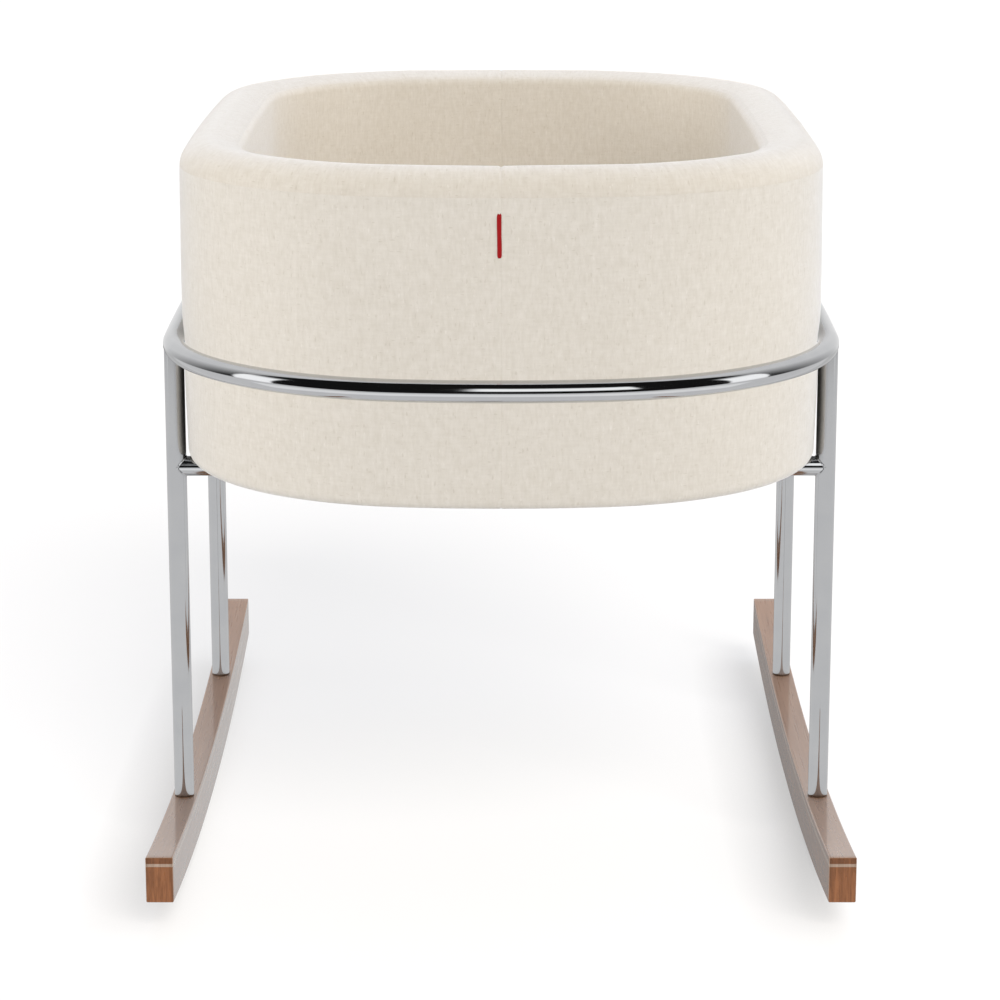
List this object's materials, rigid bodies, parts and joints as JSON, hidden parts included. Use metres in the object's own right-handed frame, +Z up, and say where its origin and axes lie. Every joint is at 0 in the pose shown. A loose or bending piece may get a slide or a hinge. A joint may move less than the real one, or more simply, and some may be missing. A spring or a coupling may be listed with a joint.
{
  "type": "bassinet",
  "caption": "Rocking bassinet: a padded linen tub held in a closed chrome tube ring on straight legs above laminated wooden rockers, with a lift-out mattress.",
  "frame": {"origin": "on the floor under the middle of the tub, where the rockers' flats rest", "axes": "+X to the right seen from the front, +Y towards the rear along the tub's length and the rockers, +Z up; the front with the fabric tab is at -Y"},
  "size_m": [0.6044, 0.8536, 0.6526],
  "materials": {
    "chrome": "polished chrome plate on steel tube",
    "walnut": "satin clear lacquer",
    "maple": "satin clear lacquer",
    "steel": "zinc plated",
    "plywood": "sanded birch plywood",
    "foam": "open cell upholstery foam",
    "linen": "oatmeal linen weave with slubs",
    "cotton": "white cotton jersey",
    "ribbon": "red woven ribbon",
    "black_cloth": "black non-woven cloth"
  },
  "bodies": {
    "cradle": {"top_ring": "chrome", "leg_front_left": "chrome", "leg_front_right": "chrome", "leg_rear_left": "chrome", "leg_rear_right": "chrome", "cross_tube_front": "chrome", "cross_tube_rear": "chrome", "rocker_body_left": "walnut", "rocker_cap_left": "walnut", "rocker_body_right": "walnut", "rocker_cap_right": "walnut", "rocker_stripe_left": "maple", "rocker_stripe_right": "maple", "leg_plug_front_left": "steel", "leg_washer_front_left": "steel", "leg_bolt_front_left": "steel", "leg_plug_front_right": "steel", "leg_washer_front_right": "steel", "leg_bolt_front_right": "steel", "leg_plug_rear_left": "steel", "leg_washer_rear_left": "steel", "leg_bolt_rear_left": "steel", "leg_plug_rear_right": "steel", "leg_washer_rear_right": "steel", "leg_bolt_rear_right": "steel", "tub_washer_front_left": "steel", "tub_bolt_front_left": "steel", "tub_nut_front_left": "steel", "tub_washer_front_right": "steel", "tub_bolt_front_right": "steel", "tub_nut_front_right": "steel", "tub_washer_rear_left": "steel", "tub_bolt_rear_left": "steel", "tub_nut_rear_left": "steel", "tub_washer_rear_right": "steel", "tub_bolt_rear_right": "steel", "tub_nut_rear_right": "steel", "base_board": "plywood", "wall_shell": "plywood", "outer_foam": "foam", "inner_foam": "foam", "rim_foam_left": "foam", "rim_foam_right": "foam", "rim_foam_front": "foam", "rim_foam_rear": "foam", "floor_liner": "linen", "outer_cover": "linen", "rim_lining": "linen", "seam_tab": "ribbon", "dust_cover": "black_cloth"},
    "mattress": {"mattress_core": "foam", "mattress_sheet": "cotton"}
  },
  "joints": [
    {"name": "mattress_lift", "type": "slide", "parent": "cradle", "child": "mattress", "axis": [0, 0, 1], "range_m": [0, 0.28]}
  ]
}
